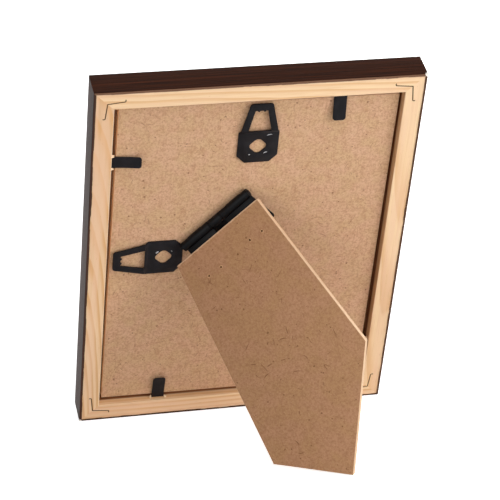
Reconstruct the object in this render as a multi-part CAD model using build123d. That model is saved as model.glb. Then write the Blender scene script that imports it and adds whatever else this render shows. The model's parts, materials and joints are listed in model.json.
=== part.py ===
from build123d import *
import os
from math import asin, atan2, cos, degrees, hypot, radians, sin

# Easel back photo frame for a 15 x 20 cm picture, in millimetres.
# The pieces are modelled with the frame lying on its face: x to the right and y to the top as
# seen from behind, z out of the back, origin at the middle of the rails' back plane.
# At the end the frame is stood up on its lower back edge and the foot of its strut.

# Picture and moulding
picture_width = 150.0
picture_height = 200.0
opening_play = 0.5  # how much wider the opening is than the picture
rail_width = 10.75  # outer face to the wall of the opening, on the back
lip_width = 5.0  # how far the front lip reaches over the picture
lip_depth = 6.5
foil_thickness = 0.3
foil_return = 1.0  # strip of foil turned over onto the back
front_edge_radius = 0.6
sight_edge_radius = 1.0
back_edge_radius = 0.4
inner_edge_radius = 0.5

# Pack of sheets in the rebate, from the lip to the back
glass_thickness = 2.0
print_thickness = 0.4
board_thickness = 4.0
board_recess = 3.6  # board's back below the rails' back
glass_play = 0.5  # how much smaller the glass is than the picture
board_play = 4.2  # how much smaller the board and the print in front of it are than the picture
board_shift_y = -0.3  # the loose board lies a little below the middle
board_turn = -0.35  # and not quite square to the rails

# Bent nails that hold the mitres
nail_inset = 7.2  # bend of the nail from both outer faces
nail_arm = 8.6
nail_splay = 6.0
nail_curl_radius = 0.7
nail_curl_angle = 140.0
nail_sheet = 0.5
nail_depth = 8.0

# Retaining tabs
tab_length = 15.5
tab_width = 6.9
tab_sheet = 0.5
tab_corner_radius = 1.6
tab_tilt = 8.0  # the free end stands off the board
covered_tab_tilt = 3.0  # the right tab lies flatter, below the folded strut
tab_board_gap = 0.2  # under the bent end of the tab
tab_wall_gap = 0.1  # bent end of the tab to the wall of the opening
tang_length = 6.0
side_tab_offset = 65.3  # tab of the left rail, from the middle of the rail
covered_tab_offset = 73.0  # tab of the right rail, behind the strut
end_tab_offset = 42.0  # tabs of the top and bottom rails

# Hangers
hanger_length = 37.4
hanger_wide = 21.4
hanger_narrow = 11.6
hanger_shoulder = 17.8  # from the narrow end to the middle of the sloping shoulder
hanger_shoulder_step = 0.9
hanger_shoulder_slope = 1.4
hanger_corner_radius = 1.6
hanger_chamfer = 4.2
hanger_sheet = 0.8
hanger_lift = 1.2  # the loop stands off the board for a nail's head
hanger_ramp = 2.0
window_top = 6.6
window_bottom = 12.2
window_from_end = 4.1
window_height = 13.0
window_corner_radius = 0.4
tooth_count = 2
tooth_pitch = 3.0
tooth_width = 1.6
tooth_height = 0.8
eye_from_end = 27.2
eye_side = 7.8  # rounded square hole
eye_turn = 45.0  # it stands on its corner
eye_corner_radius = 2.7
top_hanger_x = 1.0
top_hanger_from_wall = 3.2  # narrow end to the opening's wall
side_hanger_y = 0.5
side_hanger_gap = 0.25  # its cut corner to the end of the hinge's barrel

# Prongs that are bent out of the sheet metal and pressed into the board and the strut
prong_width = 3.0
prong_point = 1.0
prong_length = 2.8

# Strut hinge, with places along the pin counted from the strut's upper right corner
hinge_from_left_wall = 74.83
hinge_y = 43.23
hinge_tilt = 46.4  # pin's slope across the back
open_angle = 42.0  # strut to board at the stop
pin_radius = 1.6
pin_overhang = 0.5
hinge_sheet = 0.9
knuckle_lift = 0.15  # knuckles clear of the board
barrel_start = 2.4
barrel_end = 49.2
middle_knuckle_start = 21.9
middle_knuckle_end = 29.6
knuckle_gap = 0.3
strut_leaf_end = 48.4
strut_leaf_length = 20.5
strut_leaf_notch = 6.2
board_leaf_start = 3.6
board_leaf_end = 47.0
board_leaf_near = 3.8
board_leaf_length = 24.4
board_leaf_taper = 1.6
leaf_corner_radius = 1.5
leaf_prong_inset = 7.0  # prongs from the ends of a leaf
leaf_prong_near = 10.0  # first row of prongs from the pin
leaf_prong_far = 4.5  # second row of prongs from the leaf's far edge
heel_inset = 5.0  # stop heel from the ends of a knuckle
heel_turn = 18.0  # heel to the leaf, towards the board
stop_gap = 0.05

# Strut
strut_thickness = 4.0
strut_end_width = 57.3
strut_setback = 5.57  # pin's axis to the strut's end
strut_drop = 0.47  # strut's inner face below the pin's axis, when folded
tip_along = 148.47  # square foot corner, away from the pin
tip_across = 53.4
foot_angle = 44.5  # both foot edges to the pin
portrait_foot = 43.2
landscape_foot = 71.8

# Fits
slot_clearance = 0.05  # prongs, nails and tangs in their slots
pin_clearance = 0.05  # pin in its knuckles

# Sizes that follow
opening_width = picture_width + opening_play
opening_height = picture_height + opening_play
frame_width = opening_width + 2 * rail_width
frame_height = opening_height + 2 * rail_width
board_back = -board_recess
board_front = board_back - board_thickness
print_front = board_front - print_thickness
rebate_floor = print_front - glass_thickness
front_wood = rebate_floor - lip_depth + foil_thickness
lip_edge = rail_width + lip_width
mitre_reach = lip_edge + 2 * foil_thickness
through = 2 * abs(front_wood)  # deeper than any cut needs
tab_lift = tab_sheet / 2 + tab_board_gap
tab_root = tab_sheet / 2 + tab_wall_gap
knuckle_bore = pin_radius + pin_clearance
knuckle_radius = knuckle_bore + hinge_sheet
pin_height = knuckle_radius + knuckle_lift
hinge_x = hinge_from_left_wall - opening_width / 2
pin_slope = radians(hinge_tilt)
barrel_end_x = hinge_x - barrel_end * cos(pin_slope)
barrel_end_y = hinge_y - barrel_end * sin(pin_slope)
corner_rise = side_hanger_y + (hanger_wide - hanger_chamfer) / 2 - barrel_end_y
corner_back = (side_hanger_gap + corner_rise * sin(pin_slope)) / cos(pin_slope)
side_hanger_x = barrel_end_x + hanger_chamfer / 2 - corner_back - hanger_length

side_angles = {"bottom": 0, "right": 90, "top": 180, "left": 270}
tab_offsets = {
    "bottom": end_tab_offset,
    "right": covered_tab_offset,
    "top": end_tab_offset,
    "left": side_tab_offset,
}
corner_angles = {"top_right": 0, "top_left": 90, "bottom_left": 180, "bottom_right": 270}
quarter_turn = Rot(0, 0, 90)


def rail_span(side):
    # length of a rail and how far its outer face lies from the middle
    if side in ("left", "right"):
        return frame_height, frame_width / 2
    return frame_width, frame_height / 2


def rail_place(side):
    # x along the rail, y from its outer face inwards, z out of the back
    return Rot(0, 0, side_angles[side]) * Pos(0, -rail_span(side)[1], 0)


def corner_place(corner):
    x = frame_width / 2 if "right" in corner else -frame_width / 2
    y = frame_height / 2 if "top" in corner else -frame_height / 2
    return Pos(x, y, 0) * Rot(0, 0, corner_angles[corner])


def wood_section():
    points = [
        (foil_thickness, 0),
        (rail_width, 0),
        (rail_width, rebate_floor),
        (lip_edge, rebate_floor),
        (lip_edge, front_wood),
        (foil_thickness, front_wood),
    ]
    section = make_face(Polyline(points, close=True))
    radii = {0: back_edge_radius, 1: inner_edge_radius, 4: sight_edge_radius, 5: front_edge_radius}
    for index, radius in radii.items():
        corner = section.vertices().sort_by_distance(points[index])[0]
        section = fillet(corner, radius)
    return section


def foil_section(wood):
    # the layer round the wood, left on the lip, the front, the outer face and the turned edge
    layer = offset(wood, foil_thickness) - wood
    outer = Rectangle(foil_thickness + foil_return, 2 * through, align=(Align.MIN, Align.CENTER))
    lip = Pos(0, rebate_floor) * Rectangle(mitre_reach, through, align=(Align.MIN, Align.MAX))
    return layer & (outer + lip)


def mitred(section, length):
    half = length / 2
    bar = extrude(Plane.YZ * section, amount=half, both=True)
    inner = half - mitre_reach
    corners = [(-half, 0), (half, 0), (inner, mitre_reach), (-inner, mitre_reach)]
    return bar & extrude(make_face(Polyline(corners, close=True)), amount=through, both=True)


def corner_nail(sheet, depth):
    # one strip bent across the mitre, with both ends curled, seen from the outer corner
    bend = Vector(-nail_inset, -nail_inset)
    splay = radians(nail_splay)
    arms = [(Vector(-cos(splay), sin(splay)), -1), (Vector(sin(splay), -cos(splay)), 1)]
    strip = Pos(bend) * Circle(sheet / 2)
    for way, turn in arms:
        end = bend + way * nail_arm
        curl = JernArc(end, way, nail_curl_radius, turn * nail_curl_angle)
        strip += trace(Line(bend, end), sheet) + trace(curl, sheet)
    return extrude(strip, amount=-depth)


def sheet_prong(thickness, spare=0.0):
    # pointed prong of a sheet that lies on z = 0, x across it, pressed in downwards
    half = prong_width / 2 + spare
    point = prong_point / 2 + spare
    depth = -prong_length - spare
    right = [(half, thickness), (half, 0), (point, depth)]
    outline = make_face(Polyline(right + [(-x, z) for x, z in reversed(right)], close=True))
    return extrude(Plane.XZ * outline, amount=thickness / 2 + spare, both=True)


def eye_prong_places():
    # one prong beside each edge of the eye
    turns = [Rot(0, 0, eye_turn + angle) for angle in side_angles.values()]
    edge = Pos(0, (eye_side + hanger_sheet) / 2, 0)
    return [Pos(0, -eye_from_end, 0) * turn * edge for turn in turns]


def hanger():
    # narrow end at the origin, lying on the board, loop towards the narrow end
    narrow = hanger_narrow / 2
    wide = hanger_wide / 2
    neck = wide - hanger_shoulder_step
    slope = hanger_shoulder_slope / 2
    end = -hanger_length
    right = [
        (narrow, 0),
        (neck, slope - hanger_shoulder),
        (wide, -slope - hanger_shoulder),
        (wide, end + hanger_chamfer),
        (wide - hanger_chamfer, end),
    ]
    outline = make_face(Polyline(right + [(-x, y) for x, y in reversed(right)], close=True))
    narrow_corners = outline.vertices().sort_by(Axis.Y)[-2:]
    outline = fillet(narrow_corners, hanger_corner_radius)

    window_end = -window_from_end - window_height
    half_top = window_top / 2
    half_bottom = window_bottom / 2
    window = make_face(Polyline([
        (half_top, -window_from_end),
        (half_bottom, window_end),
        (-half_bottom, window_end),
        (-half_top, -window_from_end),
    ], close=True))
    window = fillet(window.vertices(), window_corner_radius)
    for index in range(tooth_count):
        middle = (index - (tooth_count - 1) / 2) * tooth_pitch
        window -= Pos(middle, -window_from_end) * make_face(Polyline([
            (-tooth_width / 2, tooth_height),
            (-tooth_width / 2, 0),
            (0, -tooth_height),
            (tooth_width / 2, 0),
            (tooth_width / 2, tooth_height),
        ], close=True))
    eye = RectangleRounded(eye_side, eye_side, eye_corner_radius)
    eye = Pos(0, -eye_from_end) * Rot(0, 0, eye_turn) * eye
    blank = extrude(outline - window - eye, amount=through, both=True)

    ramp_start = -hanger_shoulder + hanger_ramp / 2
    ramp_end = ramp_start - hanger_ramp
    bent = [(0, hanger_lift), (ramp_start, hanger_lift), (ramp_end, 0), (end, 0)]
    strip = make_face(Polyline(bent + [(y, z + hanger_sheet) for y, z in reversed(bent)], close=True))
    plate = blank & extrude(Plane.YZ * strip, amount=hanger_wide, both=True)
    for place in eye_prong_places():
        plate += place * sheet_prong(hanger_sheet)
    return plate


def hinge_plate(points, height, thickness):
    # flat plate in the hinge's own frame: x from the pin, y out of the back, z along the pin
    outline = make_face(Polyline([(x, height, along) for x, along in points], close=True))
    return extrude(outline, amount=thickness, dir=(0, 1, 0))


def barrel(section, start, end):
    return Pos(0, 0, start) * extrude(section, amount=end - start, dir=(0, 0, 1))


def leaf_prong_places(start, end, length, height, tip):
    # two rows of prongs, their flat side along the pin, pointing the way of tip
    rows = (leaf_prong_near, length - leaf_prong_far)
    places = (start + leaf_prong_inset, end - leaf_prong_inset)
    return [
        Plane(origin=(row, height, along), x_dir=(0, 0, 1), z_dir=(0, -tip, 0)).location
        for row in rows
        for along in places
    ]


def prong_window(place):
    # opening in the leaf that the prong was bent out of
    hole = Box(prong_length, through, prong_width, align=(Align.MIN, Align.CENTER, Align.CENTER))
    return Pos(place.position) * Pos(hinge_sheet / 2, 0, 0) * hole


def board_leaf():
    ring = Circle(knuckle_radius) - Circle(knuckle_bore)
    top = hinge_sheet - pin_height
    tongue = make_face(Polyline([
        (0, -knuckle_radius),
        (board_leaf_near, -pin_height),
        (board_leaf_near + hinge_sheet, -pin_height),
        (board_leaf_near + hinge_sheet, top),
        (board_leaf_near, top),
        (0, hinge_sheet - knuckle_radius),
    ], close=True))
    knuckle = barrel(ring + tongue - Circle(knuckle_bore), middle_knuckle_start, middle_knuckle_end)
    outline = [
        (board_leaf_near, board_leaf_start),
        (board_leaf_length, board_leaf_start + board_leaf_taper),
        (board_leaf_length, board_leaf_end - board_leaf_taper),
        (board_leaf_near, board_leaf_end),
    ]
    flat = hinge_plate(outline, -pin_height, hinge_sheet)
    flat = fillet(flat.edges().filter_by(Axis.Y), leaf_corner_radius)
    leaf = flat + knuckle
    for place in board_leaf_prongs():
        leaf -= prong_window(place)
        leaf += place * sheet_prong(hinge_sheet)
    return leaf


def board_leaf_prongs():
    return leaf_prong_places(board_leaf_start, board_leaf_end, board_leaf_length, -pin_height, -1)


def strut_leaf_prongs():
    return leaf_prong_places(barrel_start, strut_leaf_end, strut_leaf_length, -strut_drop, 1)


def strut_leaf():
    ring = Circle(knuckle_radius) - Circle(knuckle_bore)
    flat = hinge_plate([
        (knuckle_bore, barrel_start),
        (strut_leaf_length, barrel_start),
        (strut_leaf_length, strut_leaf_end),
        (knuckle_bore, strut_leaf_end),
    ], -strut_drop - hinge_sheet, hinge_sheet)
    far_corners = flat.edges().filter_by(Axis.Y).sort_by(Axis.X)[-2:]
    leaf = fillet(far_corners, leaf_corner_radius)

    # heel below the knuckles that lands on the board at the full opening
    half = hinge_sheet / 2
    swing = radians(open_angle + heel_turn)
    reach = (pin_height - stop_gap - half * cos(swing)) / sin(swing)
    heel = Rot(0, 0, heel_turn) * make_face(Polyline([
        (-reach, -half),
        (-knuckle_bore - half, -half),
        (-knuckle_bore - half, half),
        (-reach, half),
    ], close=True))
    notch_start = middle_knuckle_start - knuckle_gap
    notch_end = middle_knuckle_end + knuckle_gap
    low_middle = (Align.MIN, Align.CENTER, Align.MIN)
    notch = Box(strut_leaf_notch, through, notch_end - notch_start, align=low_middle)
    leaf -= Pos(0, 0, notch_start) * notch
    for start, end in ((barrel_start, notch_start), (notch_end, barrel_end)):
        leaf += barrel(ring, start, end) + barrel(heel, start + heel_inset, end - heel_inset)
    for place in strut_leaf_prongs():
        leaf -= prong_window(place)
        leaf += place * sheet_prong(hinge_sheet)
    return leaf


def hinge_pin():
    pin = barrel(Circle(pin_radius), barrel_start - pin_overhang, barrel_end + pin_overhang)
    return chamfer(pin.edges().filter_by(GeomType.CIRCLE), pin_overhang / 2)


def strut():
    turn = radians(foot_angle)
    outline = [
        (strut_setback, 0),
        (tip_along - landscape_foot * sin(turn), tip_across - landscape_foot * cos(turn)),
        (tip_along, tip_across),
        (tip_along - portrait_foot * sin(turn), tip_across + portrait_foot * cos(turn)),
        (strut_setback, strut_end_width),
    ]
    plate = hinge_plate(outline, -strut_drop, strut_thickness)
    for place in strut_leaf_prongs():
        plate -= place * sheet_prong(hinge_sheet, slot_clearance)
    return plate


def tab_place(side):
    bend_line = Pos(-tab_offsets[side], rail_width + tab_root, board_back + tab_lift)
    return rail_place(side) * bend_line * quarter_turn


def tab_blade(tilt):
    # x away from the rail, bend line along y at the origin
    strip = Rectangle(tab_length, tab_width, align=(Align.MIN, Align.CENTER))
    blade = extrude(strip, tab_sheet / 2, both=True)
    free_corners = blade.edges().filter_by(Axis.Z).sort_by(Axis.X)[-2:]
    blade = fillet(free_corners, tab_corner_radius)
    bend = Rot(90, 0, 0) * Cylinder(tab_sheet / 2, tab_width)
    return Rot(0, -tilt, 0) * (blade + bend)


def tab_tang(spare=0.0):
    # driven into the rail, with its far corners cut off
    start = -tab_root + tab_wall_gap / 2
    end = -tab_root - tang_length - spare
    half = tab_width / 2 + spare
    right = [(start, half), (end + half / 2, half), (end, half / 2)]
    outline = make_face(Polyline(right + [(x, -y) for x, y in reversed(right)], close=True))
    return extrude(outline, tab_sheet / 2 + spare, both=True)


def sheet(thickness, back, play):
    width = picture_width - play
    height = picture_height - play
    return Pos(0, 0, back) * Box(width, height, thickness, align=(Align.CENTER, Align.CENTER, Align.MAX))


# Places
hinge_place = Plane(
    origin=(hinge_x, hinge_y, board_back + pin_height),
    x_dir=(sin(pin_slope), -cos(pin_slope), 0),
    z_dir=(-cos(pin_slope), -sin(pin_slope), 0),
).location
strut_place = hinge_place * Rot(0, 0, open_angle)
hanger_places = {
    "hanger_top": Pos(top_hanger_x, opening_height / 2 - top_hanger_from_wall, board_back),
    "hanger_side": Pos(side_hanger_x, side_hanger_y, board_back) * quarter_turn,
}

# Moulding
pieces = {}
wood = wood_section()
foil = foil_section(wood)
nail_slot = corner_nail(nail_sheet + 2 * slot_clearance, nail_depth + slot_clearance)
for side in side_angles:
    length = rail_span(side)[0]
    rail = rail_place(side) * mitred(wood, length)
    for corner in corner_angles:
        rail -= corner_place(corner) * nail_slot
    rail -= tab_place(side) * tab_tang(slot_clearance)
    pieces[f"rail_{side}"] = rail
    pieces[f"wrap_{side}"] = rail_place(side) * mitred(foil, length)
    tilt = covered_tab_tilt if side == "right" else tab_tilt
    pieces[f"tab_{side}"] = tab_place(side) * tab_blade(tilt)
    pieces[f"tang_{side}"] = tab_place(side) * tab_tang()
for corner in corner_angles:
    pieces[f"corner_nail_{corner}"] = corner_place(corner) * corner_nail(nail_sheet, nail_depth)

# Sheets
pieces["glass"] = sheet(glass_thickness, print_front, glass_play)
board_place = Pos(0, board_shift_y, 0) * Rot(0, 0, board_turn)
pieces["picture_print"] = board_place * sheet(print_thickness, board_front, board_play)
board = board_place * sheet(board_thickness, board_back, board_play)
for place in board_leaf_prongs():
    board -= hinge_place * place * sheet_prong(hinge_sheet, slot_clearance)
for hanger_place in hanger_places.values():
    for place in eye_prong_places():
        board -= hanger_place * place * sheet_prong(hanger_sheet, slot_clearance)
pieces["backing_board"] = board

# Hardware and strut
for name, place in hanger_places.items():
    pieces[name] = place * hanger()
pieces["hinge_board_leaf"] = hinge_place * board_leaf()
pieces["hinge_strut_leaf"] = strut_place * strut_leaf()
pieces["hinge_pin"] = strut_place * hinge_pin()
pieces["strut"] = strut_place * strut()

# Standing up: the frame leans back until the strut's foot corner and the rounded lower edge
# of the back touch one floor
tip = (strut_place * Pos(tip_along, -strut_drop, tip_across)).position
edge_radius = back_edge_radius + foil_thickness
edge_y = -frame_height / 2 + edge_radius
edge_z = foil_thickness - edge_radius
reach_out = tip.Z - edge_z
reach_up = tip.Y - edge_y
lean = atan2(reach_up, reach_out) + asin(edge_radius / hypot(reach_out, reach_up))
upright = Plane(origin=(0, 0, 0), x_dir=(-1, 0, 0), z_dir=(0, cos(lean), -sin(lean))).location
boxes = [(upright * piece).bounding_box() for piece in pieces.values()]
middle_y = (min(box.min.Y for box in boxes) + max(box.max.Y for box in boxes)) / 2
floor_z = min(box.min.Z for box in boxes)
stand = Pos(0, -middle_y, -floor_z) * upright

os.makedirs("parts", exist_ok=True)
for name, piece in pieces.items():
    export_step(stand * piece, f"parts/{name}.step")
print(f"lean {degrees(lean):.3f} degrees, frame {frame_width} x {frame_height} mm")
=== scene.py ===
import json
import math
import random

import bmesh
import bpy
from mathutils import Matrix, Vector, geometry, noise


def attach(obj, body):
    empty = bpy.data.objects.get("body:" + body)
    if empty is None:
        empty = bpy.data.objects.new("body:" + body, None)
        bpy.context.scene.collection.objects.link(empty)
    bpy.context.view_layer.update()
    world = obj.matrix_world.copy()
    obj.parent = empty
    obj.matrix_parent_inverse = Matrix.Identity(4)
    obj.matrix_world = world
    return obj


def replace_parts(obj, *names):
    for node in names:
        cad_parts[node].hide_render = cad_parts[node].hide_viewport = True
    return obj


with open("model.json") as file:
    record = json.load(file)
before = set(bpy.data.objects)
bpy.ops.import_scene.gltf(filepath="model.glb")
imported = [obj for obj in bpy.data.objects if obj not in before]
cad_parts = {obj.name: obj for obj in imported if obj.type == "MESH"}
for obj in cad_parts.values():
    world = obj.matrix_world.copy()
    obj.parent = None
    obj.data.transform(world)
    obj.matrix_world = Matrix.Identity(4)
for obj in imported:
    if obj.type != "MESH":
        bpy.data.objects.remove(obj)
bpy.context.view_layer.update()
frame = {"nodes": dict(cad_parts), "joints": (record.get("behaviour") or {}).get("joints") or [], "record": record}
nodes = frame["nodes"]
mounts = {mount["name"]: mount for mount in frame["record"]["mounts"]}
joints = {joint["name"]: joint for joint in frame["joints"]}
mm = 0.001
print("frame loaded,", len(nodes), "nodes")


# places on the frame, in metres where no note says otherwise

def reach(names, axis):  # lowest and highest place of some nodes along an axis
    places = [axis.dot(vert.co) for name in names for vert in nodes[name].data.vertices]
    return min(places), max(places)


def axesMatrix(x, y, z, origin):
    turned = Matrix((x, y, z)).transposed().to_4x4()
    turned.translation = origin
    return turned


sides = ("bottom", "right", "top", "left")
rails = ["rail_" + side for side in sides]
wraps = ["wrap_" + side for side in sides]
outward = Vector(mounts["hang_portrait"]["axis"])  # out of the frame's back
upward = Vector((0, -outward.z, outward.y))  # up along the back
rightward = Vector((-1, 0, 0))  # to the right as seen from behind
lowEnd, highEnd = reach(wraps, upward)
leftEnd, rightEnd = reach(wraps, rightward)
frameHeight = highEnd - lowEnd
frameWidth = rightEnd - leftEnd
railBack = reach(rails, outward)[1]
backMiddle = upward * (lowEnd + highEnd) / 2 + outward * railBack
backFrame = axesMatrix(rightward, upward, outward, backMiddle)
boardFace = (reach(["backing_board"], outward)[1] - railBack) / mm  # in millimetres from the rails' back
foilFront = (reach(wraps, outward)[0] - railBack) / mm  # also in millimetres


def railFrame(side):  # x along the rail, y from its outer face inwards, z out of the back
    turn = Matrix.Rotation(math.radians(90 * sides.index(side)), 4, "Z")
    half = (frameWidth if side in ("left", "right") else frameHeight) / 2
    return backFrame @ turn @ Matrix.Translation((0, -half, 0))


def railLength(side):
    return frameHeight if side in ("left", "right") else frameWidth


foldJoint = joints["strut_fold"]
pinMiddle = Vector(foldJoint["pos_m"])
openAngle = math.radians(max(foldJoint["range_deg"]))
alongPin = -Vector(foldJoint["axis"])
overBoard = outward.cross(alongPin)
alongStrut = overBoard * math.cos(openAngle) + outward * math.sin(openAngle)
offStrut = outward * math.cos(openAngle) - overBoard * math.sin(openAngle)
strutFrame = axesMatrix(alongStrut, offStrut, alongPin, pinMiddle)
leafFrame = axesMatrix(overBoard, outward, alongPin, pinMiddle)


def tabFrame(side):  # x away from the rail, y along the bend, z out of the back
    joint = joints["tab_" + side + "_bend"]
    alongBend = -Vector(joint["axis"])
    return axesMatrix(alongBend.cross(outward), alongBend, outward, Vector(joint["pos_m"]))


# shader sums

def srgb(red, green, blue):  # a colour as a picture editor shows it, made linear
    def linear(value):
        value /= 255
        return value / 12.92 if value <= 0.04045 else ((value + 0.055) / 1.055) ** 2.4
    return (linear(red), linear(green), linear(blue), 1)


def linearLook(look):  # all the colours of a finish
    return {key: srgb(*value) for key, value in look.items()}


def grainShift(grain, seed):  # moves the noise, so that no two pieces have the same grain
    return tuple(seed * step for step in grain["shift"])


class Wire:  # a shader value that Python can do sums with
    def __init__(self, finish, socket):
        self.finish = finish
        self.socket = socket

    def fn(self, operation, *others):
        sockets = dict(enumerate((self,) + others))
        return self.finish.node("ShaderNodeMath", {"operation": operation}, sockets)

    def flip(self, operation, other):
        return self.finish.node("ShaderNodeMath", {"operation": operation}, {0: other, 1: self})

    def __add__(self, other):
        return self.fn("ADD", other)

    def __radd__(self, other):
        return self.flip("ADD", other)

    def __sub__(self, other):
        return self.fn("SUBTRACT", other)

    def __rsub__(self, other):
        return self.flip("SUBTRACT", other)

    def __mul__(self, other):
        return self.fn("MULTIPLY", other)

    def __rmul__(self, other):
        return self.flip("MULTIPLY", other)

    def step(self, low, high):  # 0 below low, 1 above high, smooth between
        settings = {"interpolation_type": "SMOOTHSTEP"}
        sockets = {"Value": self, "From Min": low, "From Max": high}
        return self.finish.node("ShaderNodeMapRange", settings, sockets)


class Finish:  # one material, or the world, and its nodes
    def __init__(self, name, store=bpy.data.materials):
        self.made = store.new(name)
        self.made.use_nodes = True
        self.tree = self.made.node_tree
        self.tree.nodes.clear()

    def node(self, kind, settings=None, sockets=None, out=0):
        made = self.tree.nodes.new(kind)
        for key, value in (settings or {}).items():
            setattr(made, key, value)
        for key, value in (sockets or {}).items():
            if isinstance(value, Wire):
                self.tree.links.new(value.socket, made.inputs[key])
            else:
                made.inputs[key].default_value = value
        return Wire(self, made.outputs[out] if made.outputs else None)

    def vector(self, operation, a, b, out=0):
        return self.node("ShaderNodeVectorMath", {"operation": operation}, {0: a, 1: b}, out)

    def along(self, point, way):  # how far a point lies along a direction
        return self.vector("DOT_PRODUCT", point, way, "Value")

    def mix(self, factor, a, b):  # colours
        return self.node("ShaderNodeMix", {"data_type": "RGBA"}, {0: factor, 6: a, 7: b}, 2)

    def place(self, matrix):  # place on the surface in millimetres, along a matrix's axes
        point = self.node("ShaderNodeTexCoord", out="Object")
        point = self.vector("SUBTRACT", point, matrix.translation)
        rows = [Vector(matrix.col[index][:3]) / mm for index in range(3)]
        parts = [self.along(point, row) for row in rows]
        return self.node("ShaderNodeCombineXYZ", None, dict(enumerate(parts)))

    def facing(self, way):  # how far the surface faces a direction, -1 to 1
        return self.along(self.node("ShaderNodeTexCoord", out="Normal"), way)

    def painted(self, name):  # a number kept on the points of the mesh
        return self.node("ShaderNodeAttribute", {"attribute_name": name}, None, "Fac")

    def stretched(self, point, pitch, shift):  # a place counted in pitches, one for all ways or one for each
        pitches = pitch if isinstance(pitch, tuple) else (pitch,) * 3
        scaled = self.vector("MULTIPLY", point, Vector(1 / size for size in pitches))
        return self.vector("ADD", scaled, shift)

    def noise(self, point, pitch, shift=(0, 0, 0), detail=2.0, rough=0.5):
        sockets = {"Vector": self.stretched(point, pitch, shift), "Scale": 1.0}
        sockets.update({"Detail": detail, "Roughness": rough})
        return self.node("ShaderNodeTexNoise", None, sockets)

    def spots(self, point, pitch, shift):  # distance to the nearest of some scattered points
        sockets = {"Vector": self.stretched(point, pitch, shift), "Scale": 1.0}
        return self.node("ShaderNodeTexVoronoi", {"feature": "F1"}, sockets)

    def bump(self, height, depth):  # depth in millimetres
        sockets = {"Height": height, "Distance": depth * mm, "Strength": 1.0}
        return self.node("ShaderNodeBump", None, sockets, "Normal")

    def shade(self, **sockets):
        names = {key.replace("_", " "): value for key, value in sockets.items()}
        shader = self.node("ShaderNodeBsdfPrincipled", None, names)
        self.node("ShaderNodeOutputMaterial", None, {"Surface": shader})
        return self.made


# pieces

def meshOf(verts, faces, matrix):  # points in millimetres, along a matrix's axes
    bm = bmesh.new()
    corners = [bm.verts.new(matrix @ (Vector(vert) * mm)) for vert in verts]
    for face in faces:
        bm.faces.new([corners[index] for index in face])
    return bm


def addPiece(name, bm, body, finish, smooth):  # edges that turn by more than smooth degrees stay crisp
    bm.normal_update()
    bmesh.ops.recalc_face_normals(bm, faces=bm.faces)
    mesh = bpy.data.meshes.new(name)
    bm.to_mesh(mesh)
    bm.free()
    mesh.polygons.foreach_set("use_smooth", [True] * len(mesh.polygons))
    mesh.set_sharp_from_angle(angle=math.radians(smooth))
    mesh.materials.append(finish)
    piece = bpy.data.objects.new(name, mesh)
    bpy.context.scene.collection.objects.link(piece)
    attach(piece, body)
    return piece


def paintPoints(piece, name, values):
    piece.data.attributes.new(name, "FLOAT", "POINT").data.foreach_set("value", values)


def dressNode(name, finish):
    node = nodes[name]
    if not node.data.materials:
        node.data.materials.append(None)
    for slot in node.material_slots:
        slot.material = finish


def arcPoints(centre, radius, start, end, count):
    angles = [math.radians(start + (end - start) * index / count) for index in range(count + 1)]
    return [(centre[0] + radius * math.cos(a), centre[1] + radius * math.sin(a)) for a in angles]


def tubeFaces(start, rings, count):  # faces between rings of count points that follow each other
    faces = []
    for ring in range(rings - 1):
        for index in range(count):
            a = start + ring * count + index
            b = start + ring * count + (index + 1) % count
            faces.append((a, b, b + count, a + count))
    return faces


# rails keep their solids and get raw pine, each with its own grain
pine = {
    # the shade and wall colours are painted shade, arris is a painted highlight, and the darkest colour is the
    # painted shadow of the gap
    "look": {"pale": (246, 213, 171), "late": (222, 170, 116), "pink": (240, 200, 167),
             "streak": (208, 150, 100), "fleck": (180, 122, 78), "wall": (194, 146, 101),
             "shade": (214, 170, 132), "arris": (255, 238, 210), "gapShadow": (128, 76, 38)},
    "grain": {"ringPitch": 2.3, "sway": 2.4, "swayPitch": (60, 16, 16), "fibre": (22, 0.35, 0.35),
              "broad": (90, 5, 5), "fleck": (2.6, 0.22, 0.22), "streaked": 0.35, "pinkish": 0.55,
              "flecked": 0.5, "shadeStrength": 0.9, "shadeFade": 1.2, "relief": 0.06, "shift": (7.3, 3.1, 1.7)},
    # painted shade at both ends, how strongly the rings show, where their middle lies across the rail and out of
    # its back, how that drifts along the rail, how bright a painted highlight on the rebate's edge is, how much
    # painted shade darkens its wall, and how far above the board's face the painted shadow of the gap ends
    "bottom": {"shade": (0.45, -0.5), "rings": 0.75, "pith": (-9.0, -16.0), "drift": (0.012, 0.01),
               "arris": 0.1, "wall": 0.3, "shadeHeight": 0.1},
    "right": {"shade": (0.0, 0.0), "rings": 0.55, "pith": (4.0, -19.0), "drift": (0.02, 0.03),
              "arris": 0.1, "wall": 0.65, "shadeHeight": -0.9},
    "top": {"shade": (0.0, 0.1), "rings": 0.6, "pith": (16.0, -14.0), "drift": (-0.015, 0.02),
            "arris": 0.3, "wall": 0.65, "shadeHeight": 0.3},
    "left": {"shade": (0.7, 0.1), "rings": 0.9, "pith": (-1.0, -13.0), "drift": (0.0, 0.1),
             "arris": 0.8, "wall": 0.0, "shadeHeight": -3.6}}


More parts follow.
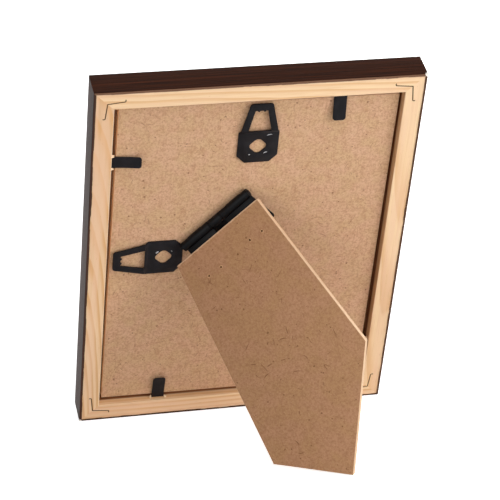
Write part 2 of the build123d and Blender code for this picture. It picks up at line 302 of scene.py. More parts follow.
def pineFinish(side, seed):
    look = linearLook(pine["look"])
    grain = pine["grain"]
    rail = pine[side]
    f = Finish("raw_pine_" + side)
    point = f.place(railFrame(side))
    shift = grainShift(grain, seed)
    pithAcross, pithHeight = rail["pith"]
    drift, climb = rail["drift"]
    sway = (f.noise(point, grain["swayPitch"], shift) - 0.5) * grain["sway"]
    across = f.along(point, (-drift, 1, 0)) - pithAcross
    height = f.along(point, (-climb, 0, 1)) - pithHeight
    fromPith = (across * across + height * height).fn("POWER", 0.5)
    ring = ((fromPith + sway) * (1 / grain["ringPitch"])).fn("FRACT")
    late = ring.step(0.3, 0.88) * (1 - ring.step(0.9, 1.0))
    fibre = f.noise(point, grain["fibre"], shift, 4.0, 0.6)
    broad = f.noise(point, grain["broad"], shift)
    fleck = f.noise(point, grain["fleck"], shift, 1.0).step(0.72, 0.8)
    half = railLength(side) / mm / 2
    # painted shade that changes along the rail, standing in for how the light falls on it
    start, end = rail["shade"]
    along = f.along(point, (1, 0, 0)).step(-half, half)
    colour = f.mix(start + along * (end - start), look["pale"], look["shade"])
    colour = f.mix(late * rail["rings"], colour, look["late"])
    colour = f.mix(fibre.step(0.45, 0.75) * grain["streaked"], colour, look["streak"])
    colour = f.mix(broad.step(0.42, 0.66) * grain["pinkish"], colour, look["pink"])
    colour = f.mix(fleck * grain["flecked"], colour, look["fleck"])
    # painted shade on the rebate's walls, which face inwards
    inward = railFrame(side).col[1].to_3d()
    colour = f.mix(f.facing(inward).step(0.6, 0.95) * rail["wall"], colour, look["wall"])
    # painted highlight along the rebate's edge
    arris = f.facing((inward + outward).normalized()).step(0.93, 0.99)
    colour = f.mix(arris * rail["arris"], colour, look["arris"])
    # painted shadow of the gap beside the board: the rebate darkens from a little above the board's face downwards
    shadeTop = boardFace + rail["shadeHeight"]
    unshaded = f.along(point, (0, 0, 1)).step(shadeTop - grain["shadeFade"], shadeTop)
    colour = f.mix((1 - unshaded) * grain["shadeStrength"], colour, look["gapShadow"])
    normal = f.bump(fibre * 0.6 + late * 0.4, grain["relief"])
    rough = 0.62 + fibre * 0.16
    return f.shade(Base_Color=colour, Roughness=rough, Normal=normal, Specular_IOR_Level=0.2)


for seed, side in enumerate(sides, 1):
    dressNode("rail_" + side, pineFinish(side, seed))
print("rails dressed")

# foil round the rails, with a ragged edge where it is turned onto the back
foil = {
    "look": {"dark": (36, 17, 9), "brown": (68, 34, 18), "light": (98, 50, 29), "worn": (128, 96, 76),
             "paper": (244, 236, 226)},
    "grain": {"streak": (38, 0.7, 0.7), "band": (120, 2.8, 2.8), "pore": (5.5, 0.16, 0.16),
              "scuff": (6.0, 0.7, 0.7), "banded": 0.45, "pored": 0.7, "frayRagged": 0.9, "chipRagged": 0.4,
              "relief": 0.03, "shift": (5.1, 2.3, 4.7)},
    "wear": {"bottom": 0.15, "right": 0.35, "top": 0.85, "left": 0.12},  # how far the turned edge is rubbed
    "sheen": {"bottom": 0.04, "right": 0.04, "top": 0.04, "left": 0.3},
    "shape": {"sheet": 0.3, "turnedOver": 1.3, "backRadius": 0.7, "frontRadius": 0.9, "sightRadius": 1.3,
              "lipEdge": 16.05, "lipStart": -10.0, "stationPitch": 0.8, "faceSteps": (1.2, 2.0, 3.2, 6.0),
              "backArc": 4, "frontArc": 5, "smooth": 50},
    "chip": {"size": 1.5, "fade": 1.5, "ends": {("top", -1), ("right", 1), ("bottom", -1), ("left", 1)}},
    "rag": {"stray": 0.2, "slow": (0.055, 0.3), "slowShare": 1.3, "quick": (0.3, 4.1), "quickShare": 0.5,
            "tear": (0.12, 9.7), "tearFrom": 0.32, "tearDepth": 0.9, "railStep": 17.0}}  # pairs: pace, layer


def foilFinish(side, seed):
    look = linearLook(foil["look"])
    grain = foil["grain"]
    f = Finish("grain_foil_" + side)
    point = f.place(railFrame(side))
    shift = grainShift(grain, seed)
    streak = f.noise(point, grain["streak"], shift, 5.0, 0.65)
    band = f.noise(point, grain["band"], shift)
    pore = f.noise(point, grain["pore"], shift, 1.0).step(0.6, 0.72)
    colour = f.mix(streak.step(0.3, 0.7), look["dark"], look["brown"])
    colour = f.mix(band.step(0.55, 0.8) * grain["banded"], colour, look["light"])
    colour = f.mix(pore * grain["pored"], colour, look["dark"])
    scuff = f.noise(point, grain["scuff"], shift, 3.0) - 0.5
    bare = (f.painted("fray") + scuff * grain["frayRagged"]).step(0.3, 0.7)
    colour = f.mix(bare * foil["wear"][side], colour, look["worn"])
    chip = (f.painted("chip") + scuff * grain["chipRagged"]).step(0.4, 0.6)
    colour = f.mix(chip, colour, look["paper"])
    normal = f.bump(streak * 0.4 - pore * 0.8, grain["relief"])
    rough = 0.4 + streak * 0.1 + bare * 0.3
    sheen = foil["sheen"][side]
    return f.shade(Base_Color=colour, Roughness=rough, Normal=normal, Specular_IOR_Level=sheen)


def foilSection(shrink):  # across the rail and out of the back, from the turned edge to the lip
    shape = foil["shape"]
    back, front, sight = shape["backRadius"], shape["frontRadius"], shape["sightRadius"]
    top = shape["sheet"]
    bottom = foilFront
    section = [(shape["turnedOver"], top - shrink), ((shape["turnedOver"] + back) / 2, top - shrink)]
    section += arcPoints((back, top - back), back - shrink, 90, 180, shape["backArc"])
    section += [(shrink, -depth) for depth in shape["faceSteps"]]
    section += arcPoints((front, bottom + front), front - shrink, 180, 270, shape["frontArc"])
    lipMiddle = (shape["lipEdge"] - sight, bottom + sight)
    section += arcPoints(lipMiddle, sight - shrink, 270, 360, shape["frontArc"])
    section.append((shape["lipEdge"] - shrink, shape["lipStart"]))
    return section


def raggedness(side, along):  # how far the turned edge strays at a place along the rail
    rag = foil["rag"]
    row = sides.index(side) * rag["railStep"]
    waves = [(along * pace, row, layer) for pace, layer in (rag["slow"], rag["quick"], rag["tear"])]
    slow, quick, tear = (noise.noise(wave) for wave in waves)
    notch = rag["tearDepth"] if tear > rag["tearFrom"] else 0.0
    return rag["stray"] * (slow * rag["slowShare"] + quick * rag["quickShare"] - notch)


def foilWrap(side, seed):
    shape = foil["shape"]
    length = railLength(side) / mm
    outer = foilSection(0.0)
    section = outer + foilSection(shape["sheet"])[::-1]
    ring = len(section)
    edgeShare = {0: 1.0, 1: 0.5, ring - 2: 0.5, ring - 1: 1.0}  # points that follow the ragged edge
    count = int(length / shape["stationPitch"])
    verts = []
    fray = []
    bare = []
    for station in range(count + 1):
        share = 2 * station / count - 1
        chipped = (side, 1 if share > 0 else -1) in foil["chip"]["ends"]
        for index, (across, height) in enumerate(section):
            along = share * (length / 2 - across)
            across += edgeShare.get(index, 0.0) * raggedness(side, along)
            verts.append((along, across, height))
            fray.append(1.0 if height > 0 else 0.0)
            fromCorner = math.dist((abs(along), across, height), (length / 2, 0, 0)) / foil["chip"]["size"]
            bare.append(max(0.0, foil["chip"]["fade"] - fromCorner) if chipped else 0.0)
    faces = tubeFaces(0, count + 1, ring)
    for start in (0, count * ring):
        for index in range(len(outer) - 1):
            inner = start + ring - 1 - index
            faces.append((start + index, start + index + 1, inner - 1, inner))
    bm = meshOf(verts, faces, railFrame(side))
    piece = addPiece("foil_" + side, bm, "frame", foilFinish(side, seed), shape["smooth"])
    paintPoints(piece, "fray", fray)
    paintPoints(piece, "chip", bare)
    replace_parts(piece, "wrap_" + side)


for seed, side in enumerate(sides, 1):
    foilWrap(side, seed)
print("foil wrapped")

# boards: the back keeps its solid, the strut is made further down
hardboard = {
    # the back's sawn edges are paler hardboard, made paler still as painted light where they lie in the shaded gap
    # by the rebate
    "back": {"yellow": (207, 170, 131), "pink": (212, 170, 138), "dull": (170, 124, 90),
             "pale": (228, 193, 160), "smudge": (184, 136, 100), "fleck": (114, 70, 44),
             "sawn": (250, 216, 178)},
    "strut": {"yellow": (176, 134, 95), "pink": (180, 135, 102), "dull": (152, 109, 77),
              "pale": (192, 150, 115), "smudge": (154, 109, 78), "fleck": (100, 62, 40),
              "sawn": (222, 188, 153)},
    "grain": {"patch": 11.0, "mottle": 1.2, "fine": 0.55, "smudge": 4.5, "streak": (0.9, 9.0, 0.9),
              "fleck": 3.2, "fleckCloud": 1.7, "dot": 0.18, "smudged": 0.55, "mottled": 0.8, "fineness": 0.5,
              "streaked": 0.3, "flecked": 0.65, "sawnPale": 0.2, "rubbed": 0.6, "rubbedFade": (0.4, 0.9),
              "relief": 0.05, "shift": (3.7, 9.1, 5.3)}}


def boardFinish(kind, matrix, faceWay, seed, rubbedEnd=None):  # faceWay: axis square to the faces
    look = linearLook(hardboard[kind])
    grain = hardboard["grain"]
    f = Finish(kind + "_hardboard")
    point = f.place(matrix)
    shift = grainShift(grain, seed)
    patch = f.noise(point, grain["patch"], shift, 3.0, 0.55)
    mottle = f.noise(point, grain["mottle"], shift, 4.0, 0.65)
    fine = f.noise(point, grain["fine"], shift)
    streak = f.noise(point, grain["streak"], shift)
    smudge = f.noise(point, grain["smudge"], shift[::-1], 4.0, 0.65)
    colour = f.mix(patch.step(0.35, 0.65), look["yellow"], look["pink"])
    colour = f.mix(smudge.step(0.5, 0.75) * grain["smudged"], colour, look["smudge"])
    colour = f.mix(mottle.step(0.36, 0.76) * grain["mottled"], colour, look["dull"])
    colour = f.mix(fine.step(0.5, 0.75) * grain["fineness"], colour, look["pale"])
    colour = f.mix(streak.step(0.55, 0.75) * grain["streaked"], colour, look["dull"])
    dot = f.noise(point, grain["fleck"] * grain["fleckCloud"], shift).step(0.42, 0.75) * grain["dot"]
    near = f.spots(point, grain["fleck"], shift) + (fine - 0.5) * grain["dot"]
    dark = 1 - (near - dot).step(0.0, 0.05)
    colour = f.mix(dark * grain["flecked"], colour, look["fleck"])
    edge = 1 - f.facing(matrix.col[faceWay].to_3d()).fn("ABSOLUTE").step(0.75, 0.96)
    sawn = f.mix(fine.step(0.4, 0.8) * grain["sawnPale"], look["sawn"], look["pale"])
    colour = f.mix(edge, colour, sawn)
    if rubbedEnd is not None:
        fromEnd = f.along(point, (1, 0, 0)) - rubbedEnd + (mottle - 0.5)
        rubbed = 1 - fromEnd.step(*grain["rubbedFade"])
        colour = f.mix(rubbed * grain["rubbed"], colour, look["sawn"])
    normal = f.bump(mottle * 0.5 + fine * 0.5, grain["relief"])
    rough = 0.6 + mottle * 0.15
    return f.shade(Base_Color=colour, Roughness=rough, Normal=normal, Specular_IOR_Level=0.15)


dressNode("backing_board", boardFinish("back", backFrame, faceWay=2, seed=1))

# plain sheet where the picture goes
paper = {"look": {"sheet": (240, 238, 232), "fibre": (228, 224, 215)},
         "felt": 0.12, "felted": 0.3, "tone": 70, "toned": 0.3, "toneShift": (3, 5, 2)}


def paperFinish():
    look = linearLook(paper["look"])
    f = Finish("insert_paper")
    point = f.place(backFrame)
    felt = f.noise(point, paper["felt"])
    tone = f.noise(point, paper["tone"], paper["toneShift"], 1.0)
    fibre = felt.step(0.4, 0.8) * paper["felted"] + tone.step(0.3, 0.7) * paper["toned"]
    colour = f.mix(fibre, look["sheet"], look["fibre"])
    return f.shade(Base_Color=colour, Roughness=0.75 + felt * 0.1, Specular_IOR_Level=0.2)


dressNode("picture_print", paperFinish())

# glass, with its edges ground and a little air between it and the print
pane = {"groundEdge": 0.35, "segments": 2, "air": 0.1, "smooth": 20,
        "shine": (236, 246, 241), "hazePitch": 30,
        "mirror": 0.04, "haze": 0.02}  # shares of the light that are thrown back


def glassFinish():
    f = Finish("clear_glass")
    haze = f.noise(f.place(backFrame), pane["hazePitch"], detail=3.0)
    mirror = pane["mirror"] + haze.step(0.4, 0.7) * pane["haze"]
    shine = srgb(*pane["shine"])
    return f.shade(Base_Color=shine, Metallic=1.0, Roughness=0.02 + haze * 0.03, Alpha=mirror)


def glassPane():
    axes = [backFrame.col[index].to_3d() for index in range(3)]
    spans = [reach(["glass"], axis) for axis in axes]
    spans[2] = (spans[2][0], spans[2][1] - pane["air"] * mm)
    bm = bmesh.new()
    bmesh.ops.create_cube(bm, size=1)
    for vert in bm.verts:
        places = [(low + high) / 2 + part * (high - low) for part, (low, high) in zip(vert.co, spans)]
        vert.co = sum((axis * place for axis, place in zip(axes, places)), Vector())
    bmesh.ops.bevel(bm, geom=bm.edges[:], offset=pane["groundEdge"] * mm, segments=pane["segments"],
                    profile=0.5, affect="EDGES")
    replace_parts(addPiece("glass_pane", bm, "frame", glassFinish(), pane["smooth"]), "glass")


glassPane()
print("sheets laid in the rebate")

# corner nails keep their solids
nail = {"look": {"steel": (92, 68, 38), "rust": (62, 41, 21)}, "cloud": 1.2, "bright": 0.5, "dulled": 0.4}


def nailFinish():
    look = linearLook(nail["look"])
    f = Finish("dull_nail_steel")
    cloud = f.noise(f.place(backFrame), nail["cloud"], detail=3.0)
    colour = f.mix(cloud.step(0.4, 0.7), look["steel"], look["rust"])
    metal = nail["bright"] - cloud * nail["dulled"]
    rough = 0.45 + cloud * 0.2
    return f.shade(Base_Color=colour, Metallic=metal, Roughness=rough, Specular_IOR_Level=0.2)


nailSteel = nailFinish()
for name in nodes:
    if name.startswith("corner_nail"):
        dressNode(name, nailSteel)
print("nails dulled")

# stamped hardware: the solids with their edges softened
stamped = {
    "plate": {"paint": (22, 20, 23), "grey": (36, 34, 38)},
    "barrel": {"paint": (4, 4, 6), "grey": (12, 11, 15)},
    "grain": {"cloud": 5, "clouded": 0.5, "peel": 0.5, "relief": 0.02, "shift": (2.9, 6.1, 1.3)},
    "soft": {"hanger_top": 0.16, "hanger_side": 0.16, "hinge_board_leaf": 0.12, "hinge_strut_leaf": 0.12,
             "hinge_pin": 0.08},
    "shape": {"weld": 0.002, "flat": 1, "crisp": 30, "segments": 2, "smooth": 40},  # angles in degrees
    "leaf": {"far": 15.0, "edge": 18.0, "wider": 0.9}}  # the corner that shows beside the strut


def blackFinish(name, seed, kind="plate"):
    look = linearLook(stamped[kind])
    grain = stamped["grain"]
    f = Finish(name)
    point = f.place(backFrame)
    shift = grainShift(grain, seed)
    cloud = f.noise(point, grain["cloud"], shift, 3.0)
    peel = f.noise(point, grain["peel"], shift)
    colour = f.mix(cloud.step(0.4, 0.75) * grain["clouded"], look["paint"], look["grey"])
    normal = f.bump(peel, grain["relief"])
    rough = 0.36 + cloud * 0.14
    return f.shade(Base_Color=colour, Roughness=rough, Normal=normal, Specular_IOR_Level=0.16)


def widenLeaf(bm):  # moves the board leaf's far corner along the pin
    leaf = stamped["leaf"]
    for vert in bm.verts:
        place = leafFrame.inverted() @ vert.co
        if place.x > leaf["far"] * mm and place.z < -leaf["edge"] * mm:
            vert.co -= alongPin * leaf["wider"] * mm


def softCopy(name, softness, finish, body):
    shape = stamped["shape"]
    flat = math.radians(shape["flat"])
    crisp = math.radians(shape["crisp"])
    bm = bmesh.new()
    bm.from_mesh(nodes[name].data)
    bmesh.ops.remove_doubles(bm, verts=bm.verts, dist=shape["weld"] * mm)
    bmesh.ops.dissolve_limit(bm, angle_limit=flat, verts=bm.verts, edges=bm.edges)
    if name == "hinge_board_leaf":
        widenLeaf(bm)
    shared = [edge for edge in bm.edges if len(edge.link_faces) == 2]
    sharp = [edge for edge in shared if edge.calc_face_angle() > crisp]
    bmesh.ops.bevel(bm, geom=sharp, offset=softness * mm, segments=shape["segments"], profile=0.5,
                    affect="EDGES", clamp_overlap=True)
    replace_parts(addPiece(name + "_pressed", bm, body, finish, shape["smooth"]), name)


bodyOf = {name: body for body, names in frame["record"]["behaviour"]["bodies"].items() for name in names}
for seed, (name, softness) in enumerate(stamped["soft"].items(), 1):
    kind = "barrel" if name.startswith("hinge") else "plate"
    softCopy(name, softness, blackFinish("black_" + name, seed, kind), bodyOf[name])
for side in sides:
    dressNode("tang_" + side, blackFinish("black_tang_" + side, seed=3))
print("hardware pressed")

# retaining tabs, bent up a little towards the free end
tab = {"length": 15.5, "width": 6.9, "sheet": 0.5, "cornerRadius": 1.6, "edgeRadius": 0.16, "edgeArc": 3,
       "bow": 0.22, "stations": 36, "crowding": 1.8, "smooth": 40, "firstSeed": 7}


def tabOutline(half):  # across the blade and through its sheet, with round edges
    soft = tab["edgeRadius"]
    flat = half - soft
    thick = tab["sheet"] / 2 - soft
    outline = []
    for quarter, centre in enumerate(((flat, thick), (-flat, thick), (-flat, -thick), (flat, -thick))):
        outline += arcPoints(centre, soft, 90 * quarter, 90 * quarter + 90, tab["edgeArc"])
    return outline


def tabBlade(side, seed):
    places = [tabFrame(side).inverted() @ vert.co for vert in nodes["tab_" + side].data.vertices]
    tip = max(places, key=lambda place: place.x + place.z)
    tilt = math.atan2(tip.z, tip.x) - math.asin(tab["sheet"] / 2 / tab["length"])
    radius = tab["cornerRadius"]
    verts = []
    for station in range(tab["stations"] + 1):
        share = station / tab["stations"]
        share = 1 - (1 - share) ** tab["crowding"]  # more stations towards the rounded end
        along = tab["length"] * share
        past = max(0.0, along - (tab["length"] - radius))
        half = tab["width"] / 2 - radius + math.sqrt(max(0.0, radius ** 2 - past ** 2))
        lift = -tab["bow"] * 4 * share * (1 - share)  # deepest half way along
        outline = tabOutline(half)
        for across, height in outline:
            x = along * math.cos(tilt) - (height + lift) * math.sin(tilt)
            z = along * math.sin(tilt) + (height + lift) * math.cos(tilt)
            verts.append((x, across, z))
    ring = len(outline)
    faces = [tuple(range(ring)), tuple(range(len(verts) - ring, len(verts)))]
    faces += tubeFaces(0, tab["stations"] + 1, ring)
    finish = blackFinish("black_tab_" + side, seed)
    bm = meshOf(verts, faces, tabFrame(side))
    piece = addPiece("tab_blade_" + side, bm, "tab_" + side, finish, tab["smooth"])
    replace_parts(piece, "tab_" + side)


for seed, side in enumerate(sides, tab["firstSeed"]):
    tabBlade(side, seed)
print("tabs bent")

# wood torn up beside the tabs, where they were driven into the rail
torn = {"look": {"pale": (250, 228, 194), "fibre": (226, 188, 144)}, "fibre": 0.3, "relief": 0.05,
        "perSide": 4, "wall": -0.35, "buried": 0.1, "root": -0.3, "beside": (0.1, 1.2), "foot": 0.55,
        "footPlay": (0.6, 1.2), "rise": (0.7, 1.8), "reach": (0.9, 2.4), "stray": (-0.2, 0.3),
        "tipRise": 0.35, "shoulders": ((0.8, 0.6), (0, 1), (-0.9, 0.5)), "smooth": 20}


def tornFinish():
    look = linearLook(torn["look"])
    f = Finish("torn_pine")
    fibre = f.noise(f.place(backFrame), torn["fibre"], detail=3.0)
    colour = f.mix(fibre.step(0.4, 0.7), look["pale"], look["fibre"])
    normal = f.bump(fibre, torn["relief"])
    return f.shade(Base_Color=colour, Roughness=0.75 + fibre * 0.15, Normal=normal)


def tornWood(side, finish):
    dice = random.Random("torn " + side)
    verts = []
    faces = []
    for way in (-1, 1):
        for _ in range(torn["perSide"]):
            middle = way * (tab["width"] / 2 + dice.uniform(*torn["beside"]))
            foot = torn["foot"] * dice.uniform(*torn["footPlay"])
            rise = dice.uniform(*torn["rise"])
            base = [(-foot, torn["root"]), (foot, torn["root"])]
            base += [(foot * wide, rise * tall) for wide, tall in torn["shoulders"]]
            start = len(verts)
            count = len(base)
            verts += [(torn["wall"] - torn["buried"], middle + y, z) for y, z in base]
            tipOut = torn["wall"] + dice.uniform(*torn["reach"])
            tipAlong = middle + way * dice.uniform(*torn["stray"])
            verts.append((tipOut, tipAlong, rise * torn["tipRise"]))
            faces.append(tuple(range(start, start + count)))
            faces += [(start + index, start + (index + 1) % count, start + count) for index in range(count)]
    bm = meshOf(verts, faces, tabFrame(side))
    addPiece("torn_wood_" + side, bm, "frame", finish, torn["smooth"])


tornPine = tornFinish()
for side in sides:
    tornWood(side, tornPine)
print("wood torn")

# bright marks of the punch that spread the hangers' prongs
stake = {
    "look": {"steel": (226, 227, 230), "dull": (140, 138, 138)}, "grit": 0.25, "bright": 0.6, "brighter": 0.2,
    "rise": 0.14, "sheet": 0.8, "eyeFromWideEnd": 10.2, "corners": 10, "curve": 0.15, "rough": (0.7, 1.3),
    "rings": ((1.0, -0.05), (0.55, 0.75), (0.0, 1.0)), "smooth": 60,
    # x and y from the eye's middle, heading, half length and half width
    "hanger_top": ((5.5, 7.0, 12, 1.6, 0.16), (4.2, -4.2, 20, 1.1, 0.28), (-4.2, -5.1, 10, 0.5, 0.3)),
    "hanger_side": ((-3.5, 3.5, 38, 1.0, 0.42), (4.3, 3.7, -30, 0.4, 0.2))}


def stakeFinish():
    look = linearLook(stake["look"])
    f = Finish("bared_steel")
    grit = f.noise(f.place(backFrame), stake["grit"])
    colour = f.mix(grit.step(0.4, 0.7), look["steel"], look["dull"])
    metal = stake["bright"] + grit * stake["brighter"]
    return f.shade(Base_Color=colour, Metallic=metal, Roughness=0.3 + grit * 0.15)


def hangerEye(hanger, lengthwise):  # middle of the hanger's eye, on its outer face
    crosswise = lengthwise.cross(outward)
    low, high = reach([hanger], crosswise)
    wideEnd = reach([hanger], lengthwise)[0]
    eye = lengthwise * (wideEnd + stake["eyeFromWideEnd"] * mm) + crosswise * (low + high) / 2
    return eye + outward * (reach(["backing_board"], outward)[1] + stake["sheet"] * mm)


def stakeMarks(hanger, lengthwise, finish):
    dice = random.Random(hanger)
    verts = []
    faces = []
    count = stake["corners"]
    for x, y, heading, length, width in stake[hanger]:
        turn = Matrix.Translation((x, y, 0)) @ Matrix.Rotation(math.radians(heading), 4, "Z")
        start = len(verts)
        for share, rise in stake["rings"]:
            for corner in range(count if share else 1):
                angle = 2 * math.pi * corner / count
                along = length * share * math.cos(angle)
                out = width * share * math.sin(angle) * dice.uniform(*stake["rough"])
                out -= along ** 2 * stake["curve"]
                verts.append(turn @ Vector((along, out, rise * stake["rise"])))
        faces.append(tuple(range(start, start + count)))
        faces += tubeFaces(start, 2, count)
        top = start + count
        faces += [(top + corner, top + (corner + 1) % count, top + count) for corner in range(count)]
    bm = meshOf(verts, faces, axesMatrix(rightward, upward, outward, hangerEye(hanger, lengthwise)))
    addPiece("stake_marks_" + hanger, bm, "frame", finish, stake["smooth"])


baredSteel = stakeFinish()
stakeMarks("hanger_top", upward, baredSteel)
stakeMarks("hanger_side", -rightward, baredSteel)
print("prongs staked")

# strut, sawn out of hardboard with soft arrises
strut = {"arris": 0.36, "segments": 3, "smooth": 30}
strutPlaces = [strutFrame.inverted() @ vert.co for vert in nodes["strut"].data.vertices]
strutFlat = [Vector((place.x, place.z)) for place in strutPlaces]
strutCorners = [strutFlat[index] for index in geometry.convex_hull_2d(strutFlat)]
strutEnd = min(place.x for place in strutPlaces)
strutInner = min(place.y for place in strutPlaces)
strutOuter = max(place.y for place in strutPlaces)


def strutBoard():
    corners = strutCorners
    bm = bmesh.new()
    low = [bm.verts.new(strutFrame @ Vector((corner.x, strutInner, corner.y))) for corner in corners]
    high = [bm.verts.new(strutFrame @ Vector((corner.x, strutOuter, corner.y))) for corner in corners]
    bm.faces.new(low)
    bm.faces.new(high[::-1])
    for index in range(len(corners)):
        after = (index + 1) % len(corners)
        bm.faces.new((low[index], high[index], high[after], low[after]))
    bmesh.ops.bevel(bm, geom=bm.edges[:], offset=strut["arris"] * mm, segments=strut["segments"],
                    profile=0.5, affect="EDGES", clamp_overlap=True)
    finish = boardFinish("strut", strutFrame, faceWay=1, seed=4, rubbedEnd=strutEnd / mm)
    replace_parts(addPiece("strut_board", bm, "strut", finish, strut["smooth"]), "strut")


strutBoard()
print("strut sawn")

# pricks where the points of the hinge's prongs show in the strut's outer face
prick = {"look": {"burr": (208, 166, 124), "fibre": (172, 128, 92), "pit": (70, 42, 24)}, "fibre": 0.5,
         "places": ((20.4, 21.0), (20.8, 12.7), (19.7, -8.9), (20.1, -17.1)), "corners": 12,
         "rings": ((1.05, -0.03, 0.0), (0.62, 0.13, 0.0), (0.48, 0.05, 1.0)),  # radius, rise, how dark
         "rough": (0.75, 1.25), "smooth": 60}


def prickFinish():
    look = linearLook(prick["look"])
    f = Finish("pricked_hardboard")
    fibre = f.noise(f.place(strutFrame), prick["fibre"], detail=3.0)
    colour = f.mix(fibre.step(0.4, 0.6), look["burr"], look["fibre"])
    colour = f.mix(f.painted("pit").step(0.3, 0.7), colour, look["pit"])
    return f.shade(Base_Color=colour, Roughness=0.7 + fibre * 0.1, Specular_IOR_Level=0.1)


def strutPricks():
    count = prick["corners"]
    dice = random.Random("pricks")
    verts = []
    faces = []
    dark = []
    for along, across in prick["places"]:
        start = len(verts)
        for radius, rise, pit in prick["rings"]:
            for corner in range(count):
                angle = 2 * math.pi * corner / count
                wide = radius * dice.uniform(*prick["rough"])
                x = along + wide * math.cos(angle)
                z = across + wide * math.sin(angle)
                verts.append((x, strutOuter / mm + rise, z))
                dark.append(pit)
        faces += tubeFaces(start, len(prick["rings"]), count)
        faces.append(tuple(range(start, start + count)))
        faces.append(tuple(range(len(verts) - count, len(verts))))
    bm = meshOf(verts, faces, strutFrame)
    piece = addPiece("prong_pricks", bm, "strut", prickFinish(), prick["smooth"])
    paintPoints(piece, "pit", dark)


strutPricks()
print("strut pricked")

# coarse strands of fibre that lie in the faces of the boards
strand = {"board": {"dark": (122, 80, 54), "light": (166, 120, 88)},
          "strut": {"dark": (124, 84, 58), "light": (154, 112, 82)}, "tint": 4,
          "width": 0.19, "tip": 0.25, "sunk": 0.08, "proud": 0.07, "length": (1.6, 7.0),
          "shorter": (0.4, 1.0), "steps": 7, "bend": 1.2, "smooth": 40, "onBoard": 170,
          "boardHalf": (71.0, 95.0), "onStrut": 55, "strutMargin": 9.0}


def strandFinish(name, matrix):
    look = linearLook(strand[name])
    f = Finish("fibre_" + name)
    tint = f.noise(f.place(matrix), strand["tint"])
    colour = f.mix(tint.step(0.4, 0.65), look["dark"], look["light"])
    return f.shade(Base_Color=colour, Roughness=0.7 + tint * 0.1, Specular_IOR_Level=0.1)


def strandPiece(name, count, matrix, inside, surface, body, finish, lay):
    steps = strand["steps"]
    section = ((-1, -strand["sunk"]), (1, -strand["sunk"]), (0, strand["proud"]))
    corners = len(section)
    dice = random.Random(name)
    verts = []
    faces = []
    while count:
        spot = inside(dice)
        if spot is None:
            continue
        count -= 1
        heading = dice.uniform(0, 2 * math.pi)
        length = dice.uniform(*strand["length"]) * dice.uniform(*strand["shorter"])
        bend = dice.uniform(-1, 1) * strand["bend"]
        start = len(verts)
        for step in range(steps + 1):
            share = step / steps
            half = strand["width"] * (strand["tip"] + (1 - strand["tip"]) * math.sin(math.pi * share))
            for way, rise in section:
                x = spot[0] - math.sin(heading) * way * half
                y = spot[1] + math.cos(heading) * way * half
                verts.append(lay(x, y, surface + rise))
            heading += bend / steps
            spot = (spot[0] + math.cos(heading) * length / steps,
                    spot[1] + math.sin(heading) * length / steps)
        faces += tubeFaces(start, steps + 1, corners)
        faces.append(tuple(range(start, start + corners)))
        faces.append(tuple(range(len(verts) - corners, len(verts))))
    addPiece(name, meshOf(verts, faces, matrix), body, finish, strand["smooth"])


def onBoard(dice):
    return tuple(dice.uniform(-half, half) for half in strand["boardHalf"])


def onStrut(dice):  # a place on the strut's outer face, or nothing where the dice fell beside it
    xs = [corner.x for corner in strutCorners]
    ys = [corner.y for corner in strutCorners]
    spot = Vector((dice.uniform(min(xs), max(xs)), dice.uniform(min(ys), max(ys))))
    centre = sum(strutCorners, Vector((0, 0))) / len(strutCorners)
    wider = centre + (spot - centre) * (1 + strand["strutMargin"] * mm / (spot - centre).length)
    for index, corner in enumerate(strutCorners):
        after = strutCorners[(index + 1) % len(strutCorners)]
        if (after - corner).cross(wider - corner) < 0:
            return None
    return tuple(spot / mm)


strandPiece("board_strands", strand["onBoard"], backFrame, onBoard, boardFace, "frame",
            strandFinish("board", backFrame), lambda x, y, z: (x, y, z))
strandPiece("strut_strands", strand["onStrut"], strutFrame, onStrut, strutOuter / mm, "strut",
            strandFinish("strut", strutFrame), lambda x, y, z: (x, z, y))
print("strands laid")

# floor, light and camera
stageLook = {"floor": (246, 246, 246), "halfSize": 6.0, "lift": 0.74}  # lift: how white the camera sees it


def studioFloor():
    size = stageLook["halfSize"]
    mesh = bpy.data.meshes.new("floor")
    corners = [(-size, -size, 0), (size, -size, 0), (size, size, 0), (-size, size, 0)]
    mesh.from_pydata(corners, [], [(0, 1, 2, 3)])
    f = Finish("floor_paper")
    lift = f.node("ShaderNodeLightPath", None, None, "Is Camera Ray") * stageLook["lift"]
    glow = f.mix(lift, (0, 0, 0, 1), (1, 1, 1, 1))
    white = srgb(*stageLook["floor"])
    mesh.materials.append(f.shade(Base_Color=white, Roughness=0.9, Specular_IOR_Level=0.0,
                                  Emission_Color=glow, Emission_Strength=1.0))
    floor = bpy.data.objects.new("floor", mesh)
    bpy.context.scene.collection.objects.link(floor)


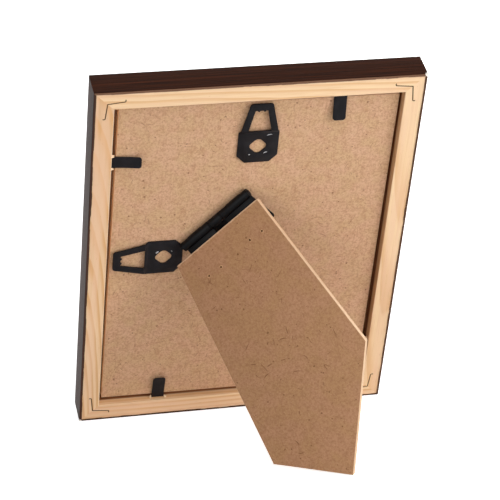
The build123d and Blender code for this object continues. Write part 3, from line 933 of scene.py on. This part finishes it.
studioLight = {"sky": 0.26, "lamps": {"top": (17.0, 1.0, (200, 2400, 750)),
                                      "left": (2.4, 0.5, (-800, 560, 1000)),
                                      "right": (15.5, 1.0, (1600, 1200, 1200)),
                                      "lowRight": (4.8, 0.5, (1100, 450, 650)),
                                      "front": (12.0, 0.8, (800, 0, -900))}}  # watts, metres, place


def areaLamp(name, power, size, place):  # place in millimetres from the middle of the back
    lamp = bpy.data.lights.new(name, "AREA")
    lamp.energy = power
    lamp.size = size
    rig = bpy.data.objects.new(name, lamp)
    rig.location = backFrame @ (Vector(place) * mm)
    rig.rotation_mode = "QUATERNION"
    rig.rotation_quaternion = (backMiddle - rig.location).to_track_quat("-Z", "Y")
    rig.visible_glossy = name != "front"  # no lamp mirrored in the glass
    bpy.context.scene.collection.objects.link(rig)


def studioWorld():
    f = Finish("studio", bpy.data.worlds)
    seen = [f.node("ShaderNodeLightPath", None, None, ray)
            for ray in ("Is Camera Ray", "Is Glossy Ray", "Is Transmission Ray")]
    direct = seen[0].fn("MAXIMUM", seen[1]).fn("MAXIMUM", seen[2])
    strength = studioLight["sky"] + direct * (1 - studioLight["sky"])
    sky = f.node("ShaderNodeBackground", None, {"Color": (1, 1, 1, 1), "Strength": strength})
    f.node("ShaderNodeOutputWorld", None, {"Surface": sky})
    bpy.context.scene.world = f.made


photoCamera = {"eye": (-255.106, 757.833, 898.066), "right": (0.97413, 0.08, 0.21136),
               "up": (0.07299, 0.77377, -0.62925), "lens": 163.06, "sensor": 36, "clip": (0.05, 50)}


def studioCamera():
    shot = bpy.data.cameras.new("camera")
    shot.sensor_width = photoCamera["sensor"]
    shot.lens = photoCamera["lens"]
    shot.clip_start, shot.clip_end = photoCamera["clip"]
    camera = bpy.data.objects.new("camera", shot)
    right = Vector(photoCamera["right"])
    up = Vector(photoCamera["up"])
    back = right.cross(up).normalized()
    eye = Vector(photoCamera["eye"]) * mm
    camera.matrix_world = backFrame @ axesMatrix(right, back.cross(right), back, eye)
    bpy.context.scene.collection.objects.link(camera)
    bpy.context.scene.camera = camera


studioFloor()
studioWorld()
for name, (power, size, place) in studioLight["lamps"].items():
    areaLamp(name, power, size, place)
studioCamera()
bpy.context.scene.view_settings.view_transform = "Standard"
print("stage set")
